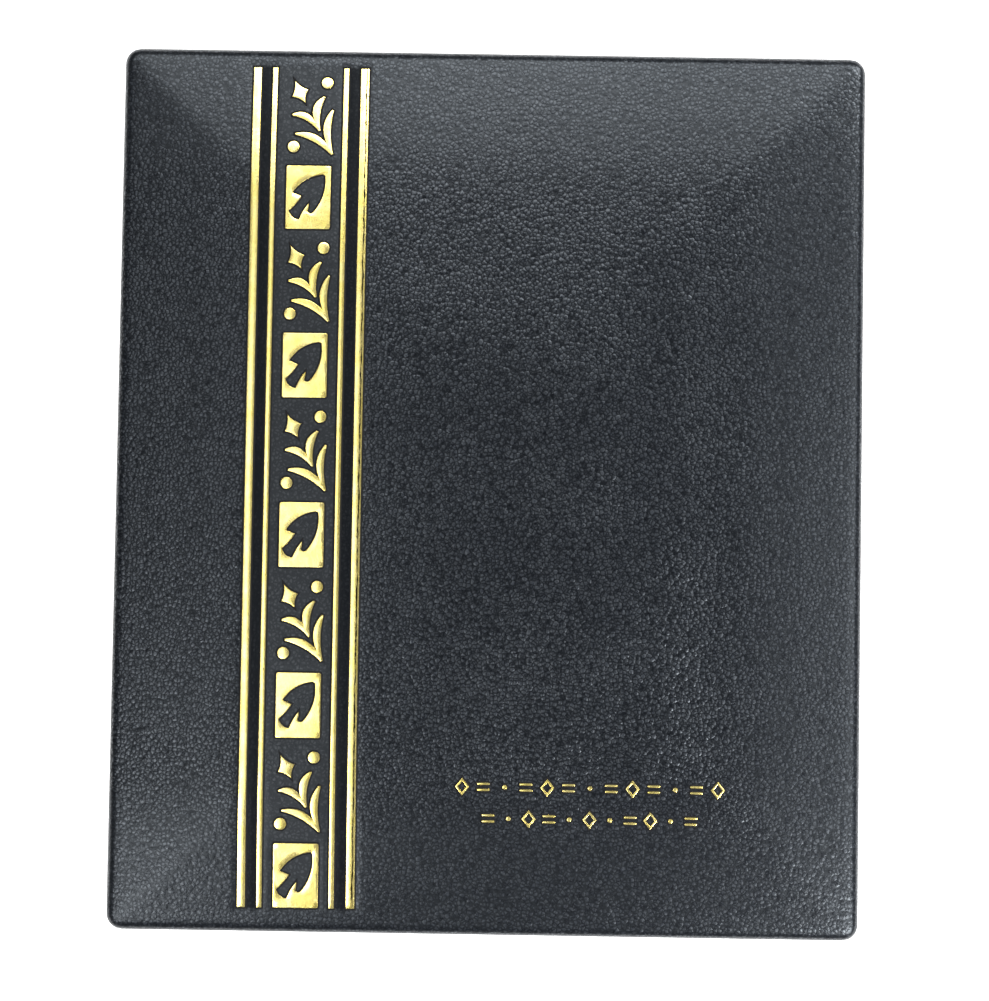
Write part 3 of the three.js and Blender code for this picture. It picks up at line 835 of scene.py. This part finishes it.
def build_page(half):
    node = f"{half.side}_page"
    low, high = half.span(node)
    capsule_low, capsule_high = half.span(f"{half.side}_capsule_rear")
    leaf_low, leaf_high = half.span("back_hinge_leaf" if half.side == "right" else "front_hinge_leaf")
    recess = rounded_rectangle(capsule_high.x + FIT_GAP, capsule_high.y + FIT_GAP,
                               CAPSULE_CORNER + FIT_GAP)
    outer = rounded_rectangle(high.x, high.y, 1.0)
    facing_bottom = high.z - PAGE_FACING
    frame_plate = plate(f"{node}_frame", [outer, recess], low.z, facing_bottom, 0.1)
    half.add(f"{node}_frame", frame_plate, "flock", "flock", node, edge=FLAT_EDGE)
    spine = 1 if half.turned else -1
    leaf_edge = max(abs(leaf_high.x), abs(leaf_low.x))
    inner = leaf_edge - (leaf_high.x - leaf_low.x) - 0.25
    reach = leaf_high.y + FIT_GAP
    notch = [(high.x, -high.y), (high.x, high.y), (-high.x, high.y), (-high.x, reach), (-inner, reach),
             (-inner, -reach), (-high.x, -reach), (-high.x, -high.y)]
    facing = [(-spine * x, y) for x, y in notch]
    if spine > 0:
        facing.reverse()
    facing_plate = plate(f"{node}_facing", [facing, recess], facing_bottom, high.z, 0.15)
    half.add(f"{node}_facing", facing_plate, "flock", "flock", edge=FLAT_EDGE)
    floor = rounded_rectangle(capsule_high.x + 0.2, capsule_high.y + 0.2, 2.2)
    certificate_space = 0.6 if half.turned else 0.0
    floor_top = capsule_low.z - FIT_GAP - certificate_space
    half.add(f"{node}_floor", plate(f"{node}_floor", [floor], low.z, floor_top, 0.1), "flock", "flock")


def build_capsule(half):
    for part in ("rear", "front"):
        node = f"{half.side}_capsule_{part}"
        low, high = half.span(node)
        loops = [rounded_rectangle(high.x, high.y, CAPSULE_CORNER)]
        bevel = 0.4
        if part == "rear":
            bevel = 0.15
            loops.append(rounded_rectangle(high.x - CAPSULE_WALL, high.y - CAPSULE_WALL, 1.0))
            inset = CAPSULE_WALL + 0.1
            base_loop = rounded_rectangle(high.x - inset, high.y - inset, 1.0)
            base = plate(f"{node}_floor", [base_loop], low.z, low.z + CAPSULE_FLOOR, 0.1)
            half.add(f"{node}_floor", base, "acrylic", "acrylic", edge=FLAT_EDGE)
        shell = plate(node, loops, low.z, high.z, bevel, 3)
        half.add(f"{node}_shell", shell, "acrylic", "acrylic", node, edge=FLAT_EDGE)


def build_card(half, coins):
    node = f"{half.side}_coin_card"
    low, high = half.span(node)
    loops = [rounded_rectangle(high.x, high.y, 1.0)]
    for coin in coins:
        coin_low, coin_high = half.span(coin)
        middle = (coin_low + coin_high) / 2
        loops.append(circle(middle.x, middle.y, (coin_high.x - coin_low.x) / 2 + FIT_GAP, 96))
    sheet = plate(node, loops, low.z, high.z, 0.25, 3)
    half.add(f"{node}_sheet", sheet, "card", "card", node, edge=FLAT_EDGE)


def star_relief(x, y, points, outer, inner):
    """A faceted star: its height falls from the middle to its outline, 0 outside."""
    angle = np.arctan2(x, y)
    step = math.pi / points
    fold = step - np.abs((angle % (2 * step)) - step)
    radius = np.hypot(x, y)
    edge_x, edge_y = outer - inner * math.cos(step), -inner * math.sin(step)
    local_x, local_y = radius * np.cos(fold), radius * np.sin(fold)
    side = (outer - local_x) * -edge_y - local_y * edge_x
    return np.clip(side / (outer * inner * math.sin(step)), 0, 1)


def wreath_relief(x, y, radius, leaves, size):
    """Two branches that rise from the foot, with leaves in pairs and a gap at the top."""
    height = np.exp(-((np.hypot(x, y) - radius) / (size * 0.12)) ** 2) * 0.45 * (y < radius * 0.8)
    for side in (-1, 1):
        for turn in np.radians(np.linspace(170, 34, leaves // 2)):
            for lean in (-38, 38):
                heading = turn - math.pi / 2 + math.radians(lean)
                along, across = side * math.sin(heading), math.cos(heading)
                cx = side * radius * math.sin(turn) + 0.85 * size * along
                cy = radius * math.cos(turn) + 0.85 * size * across
                u = (x - cx) * along + (y - cy) * across
                v = (x - cx) * across - (y - cy) * along
                swell = 1 - (u / size) ** 2 - (v / (size * 0.38)) ** 2
                vein = 1 - 0.3 * np.exp(-(v / (size * 0.08)) ** 2)
                height = np.maximum(height, np.sqrt(np.clip(swell, 0, 1)) * vein)
    return height


def beads_relief(x, y, radius, count, size):
    angle = np.arctan2(y, x)
    step = 2 * math.pi / count
    nearest = np.round(angle / step) * step
    away = np.hypot(x - radius * np.cos(nearest), y - radius * np.sin(nearest)) / size
    return np.sqrt(np.clip(1 - away ** 2, 0, 1))


def coin_mesh(name, radius, thickness, centre, star_points, leaves):
    """A struck coin with a raised rim, beads, a wreath and a star on its face."""
    rim = 0.055 * radius + 0.25
    rings, sides = COIN_RINGS, COIN_SIDES
    face_radius = radius - 0.12
    radii = np.linspace(0, face_radius, rings + 1)[1:]
    turns = np.arange(sides) * 2 * math.pi / sides
    r, t = np.meshgrid(radii, turns, indexing="ij")
    x, y = r * np.cos(t), r * np.sin(t)
    rim_rise = np.clip((r - (radius - rim)) / 0.12, 0, 1)
    bead_ring = radius - rim - 0.5
    relief = np.maximum.reduce([
        0.9 * star_relief(x, y, star_points, radius * 0.42, radius * 0.2),
        0.7 * wreath_relief(x, y, radius * 0.64, leaves, radius * 0.095),
        0.45 * beads_relief(x, y, bead_ring, round(bead_ring * 6.4), 0.32),
    ])
    field = thickness / 2 - FIELD_DROP
    height = field + np.maximum(STRIKE * relief, FIELD_DROP * rim_rise)
    top = np.stack([x, y, height], -1).reshape(-1, 3)
    centre_top = [(0, 0, field + STRIKE * 0.9)]
    reeds = round(radius * 7)
    wave = radius - 0.03 * (0.5 + 0.5 * np.cos(turns * reeds))
    wall = []
    for level, pull in ((thickness / 2 - 0.12, 0.0), (-thickness / 2 + 0.12, 0.0), (-thickness / 2, 0.12)):
        out = wave - pull
        wall.append(np.column_stack([out * np.cos(turns), out * np.sin(turns), np.full(sides, level)]))
    points = np.concatenate([top, *wall, np.array(centre_top)])
    order = np.arange(sides)
    after = np.roll(order, -1)
    faces = []
    for k in range(rings + 2):
        inner, outer = k * sides, (k + 1) * sides
        faces += np.stack([inner + order, outer + order, outer + after, inner + after], -1).tolist()
    last = len(points) - 1
    faces += [(last, int(a), int(b)) for a, b in zip(order, after)]
    faces.append([(rings + 2) * sides + int(i) for i in order[::-1]])
    mesh = mesh_from(name, points, faces)
    value = mesh.attributes.new("relief", "FLOAT", "POINT")
    data = np.zeros(len(points), np.float32)
    data[:len(top)] = np.maximum(relief, rim_rise).reshape(-1)
    data[-1] = 1.0
    value.data.foreach_set("value", data)
    for vertex in mesh.vertices:
        vertex.co += Vector(centre) * MM
    return mesh


COIN_DESIGNS = {  # the star's points and the wreath's leaves
    "coin_half_dollar": (8, 22),
    "coin_quarter": (5, 18),
    "coin_nickel": (6, 16),
    "coin_cent": (5, 14),
    "coin_dime": (4, 14),
    "coin_silver_dollar": (5, 26),
    "coin_commemorative_half": (7, 20),
}


def build_coins(half, coins):
    for coin in coins:
        low, high = half.span(coin)
        middle = (low + high) / 2
        points, leaves = COIN_DESIGNS[coin]
        name = coin + "_struck"
        mesh = coin_mesh(name, (high.x - low.x) / 2, high.z - low.z, middle, points, leaves)
        copper = coin == "coin_cent"
        slot, metal = ("copper_proof", "copper") if copper else ("silver_proof", "silver")
        half.add(name, outwards(mesh), slot, metal, coin)


# ---------------------------------------------------------------- hinge
def build_hinge(half, first):
    """One brass leaf with its screws and every second knuckle, from the first."""
    stem = "back_hinge" if half.side == "right" else "front_hinge"
    node = f"{stem}_leaf"
    low, high = half.span(node)
    spine = 1 if half.turned else -1
    pin_low, pin_high = box_mm("hinge_pin")
    axis_x = spine * abs(pin_low.x + pin_high.x) / 2
    barrel = (high.z - low.z) / 2
    pitch = (high.y - low.y) / KNUCKLES
    leaf_top = PARTING_Z - LEAF_STANDOFF
    leaf_near = spine * (abs(axis_x) - barrel - KNUCKLE_GAP)
    leaf_far = spine * abs(high.x if abs(high.x) < abs(low.x) else low.x)
    outline = [(leaf_far, low.y), (leaf_near, low.y)]
    for k in range(first, KNUCKLES, 2):
        start = low.y + k * pitch + KNUCKLE_GAP / 2
        end = low.y + (k + 1) * pitch - KNUCKLE_GAP / 2
        outline += [(leaf_near, start), (axis_x, start), (axis_x, end), (leaf_near, end)]
    outline += [(leaf_near, high.y), (leaf_far, high.y)]
    screws = [half.span(f"{stem}_screw_{i}") for i in range(1, 5)]
    centres = [(screw_low + screw_high) / 2 for screw_low, screw_high in screws]
    holes = [circle(centre.x, centre.y, SCREW_HEAD + SINK_GAP, 32) for centre in centres]
    leaf = plate(node, [outline, *holes], leaf_top - LEAF_THICKNESS, leaf_top, 0.08)
    half.add(f"{node}_plate", leaf, "brass", "brass", node, edge=FLAT_EDGE)
    reach = (pitch - KNUCKLE_GAP) / 2
    shoulder, rounded = barrel - KNUCKLE_CHAMFER, reach - KNUCKLE_CHAMFER
    profile = [(KNUCKLE_BORE, -reach), (shoulder, -reach), (barrel, -rounded), (barrel, rounded),
               (shoulder, reach), (KNUCKLE_BORE, reach), (KNUCKLE_BORE, -reach)]
    for k in range(first, KNUCKLES, 2):
        knuckle = lathe("knuckle", profile, 40, (axis_x, low.y + (k + 0.5) * pitch, PARTING_Z), "Y")
        half.add(f"{node}_knuckle_{k + 1}", knuckle, "brass", "brass")
    for i, ((screw_low, screw_high), centre) in enumerate(zip(screws, centres), 1):
        screw = f"{stem}_screw_{i}"
        top = screw_high.z
        slot_loop = rotate(rounded_rectangle(0.95, 0.16, 0.05, steps=1), 25 + 50 * i, centre.x, centre.y)
        head_loop = circle(centre.x, centre.y, SCREW_HEAD, 32)
        head = plate("screw_head", [head_loop, slot_loop], top - 0.25, top, 0.06)
        half.add(f"{screw}_head", head, "brass", "brass", edge=FLAT_EDGE)
        point = screw_low.z
        shank = [(0, point), (SCREW_SHANK / 2, point + 0.2), (SCREW_SHANK, point + 1.0),
                 (SCREW_SHANK, top - 0.5), (1.25, top - 0.22), (0, top - 0.22)]
        turned = lathe("shank", shank, 24, (centre.x, centre.y, 0))
        half.add(f"{screw}_shank", turned, "brass", "brass", screw)


def build_pin():
    low, high = box_mm("hinge_pin")
    radius = (high.x - low.x) / 2
    reach = (high.y - low.y) / 2
    profile = [(0, -reach), (radius * 0.7, -reach), (radius, -reach + 0.15),
               (radius, reach - 0.15), (radius * 0.7, reach), (0, reach)]
    pin = lathe("pin", profile, 32, (low + high) / 2, "Y")
    thing = add_object("pin", pin, "back_half", MATERIALS["brass"])
    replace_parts(sharpen(thing), "hinge_pin")


def dress_hidden_nodes():
    """CAD nodes whose shape is right keep it and get their material."""
    finishes = {"board": "board", "magnet": "magnet", "certificate": "paper"}
    for name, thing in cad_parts.items():
        for key, material in finishes.items():
            if key in name:
                thing.data.materials.clear()
                thing.data.materials.append(MATERIALS[material])


# ---------------------------------------------------------------- studio
CAMERA_DISTANCE = 420.0
CAMERA_TARGET = (1.06, -1.42, 13.0)
CAMERA_TURN = (2.408, 0.127, 0.92)  # degrees
CAMERA_LENS = 80.7
FLOOR_REACH = 3000.0
FLOOR_Z = -0.3
FLOOR_GLOW = 0.85
WORLD_GLOW = 0.24
SOFTBOXES = (  # name, place, side and power in watts
    ("top", (0, 280, 363), 150, 0.52),
    ("top_left", (-150, 280, 363), 150, 0.34),
    ("top_near_right", (140, 280, 363), 150, 0.3),
    ("top_right", (212, 212, 213), 120, 0.82),
    ("right", (280, 0, 363), 150, 0.41),
    ("bottom_right", (210, -210, 240), 130, 1.8),
    ("bottom_left", (-198, -198, 363), 150, 0.66),
    ("high_left", (-200, 0, 513), 150, 0.19),
    ("high_bottom_left", (-141, -141, 513), 150, 0.14),
    ("high_top_left", (-141, 141, 513), 150, 0.06),
)


def build_studio():
    corners = [(x * FLOOR_REACH, y * FLOOR_REACH, FLOOR_Z) for x, y in ((-1, -1), (1, -1), (1, 1), (-1, 1))]
    floor_mesh = mesh_from("floor", corners, [(0, 1, 2, 3)])
    floor = bpy.data.objects.new("floor", floor_mesh)
    bpy.context.scene.collection.objects.link(floor)
    shade = Shader("studio_floor", Roughness=0.9)
    shade.surface.inputs["Emission Color"].default_value = (1, 1, 1, 1)
    shade.surface.inputs["Emission Strength"].default_value = FLOOR_GLOW
    floor.data.materials.append(shade.finish((0.92, 0.92, 0.92, 1)))

    world = bpy.data.worlds.new("studio")
    bpy.context.scene.world = world
    world.use_nodes = True
    world.node_tree.nodes["Background"].inputs["Color"].default_value = (0.98, 0.99, 1.0, 1)
    world.node_tree.nodes["Background"].inputs["Strength"].default_value = WORLD_GLOW

    for name, place, size, power in SOFTBOXES:
        softbox(name, place, size, power)

    camera = bpy.data.cameras.new("camera")
    camera.lens = CAMERA_LENS
    holder = bpy.data.objects.new("camera", camera)
    bpy.context.scene.collection.objects.link(holder)
    turn = Euler([math.radians(a) for a in CAMERA_TURN])
    holder.rotation_euler = turn
    holder.location = (Vector(CAMERA_TARGET) + turn.to_matrix() @ Vector((0, 0, CAMERA_DISTANCE))) * MM
    bpy.context.scene.camera = holder
    bpy.context.scene.view_settings.view_transform = "Standard"


def softbox(name, place, size, power):
    """A square light aimed between the cover's middle and its near side, seen only by its effect."""
    light = bpy.data.lights.new(name, "AREA")
    light.shape = "SQUARE"
    light.size = size * MM
    light.energy = power
    holder = bpy.data.objects.new(name, light)
    bpy.context.scene.collection.objects.link(holder)
    holder.visible_camera = False
    holder.location = Vector(place) * MM
    target = Vector((0.3 * place[0], 0.3 * place[1], 13.0)) * MM
    holder.rotation_euler = (target - holder.location).to_track_quat("-Z", "Y").to_euler()


# ---------------------------------------------------------------- assembly
build_studio()
build_front_covering()
build_back_covering()
build_pad()
build_foil()
back = Half("back_half", "right", False)
front = Half("front_half", "left", True)
BACK_COINS = ("coin_half_dollar", "coin_quarter", "coin_nickel", "coin_cent", "coin_dime")
FRONT_COINS = ("coin_silver_dollar", "coin_commemorative_half")
for album_half, coins, first_knuckle in ((back, BACK_COINS, 0), (front, FRONT_COINS, 1)):
    build_page(album_half)
    build_capsule(album_half)
    build_card(album_half, coins)
    build_coins(album_half, coins)
    build_hinge(album_half, first_knuckle)
build_pin()
dress_hidden_nodes()
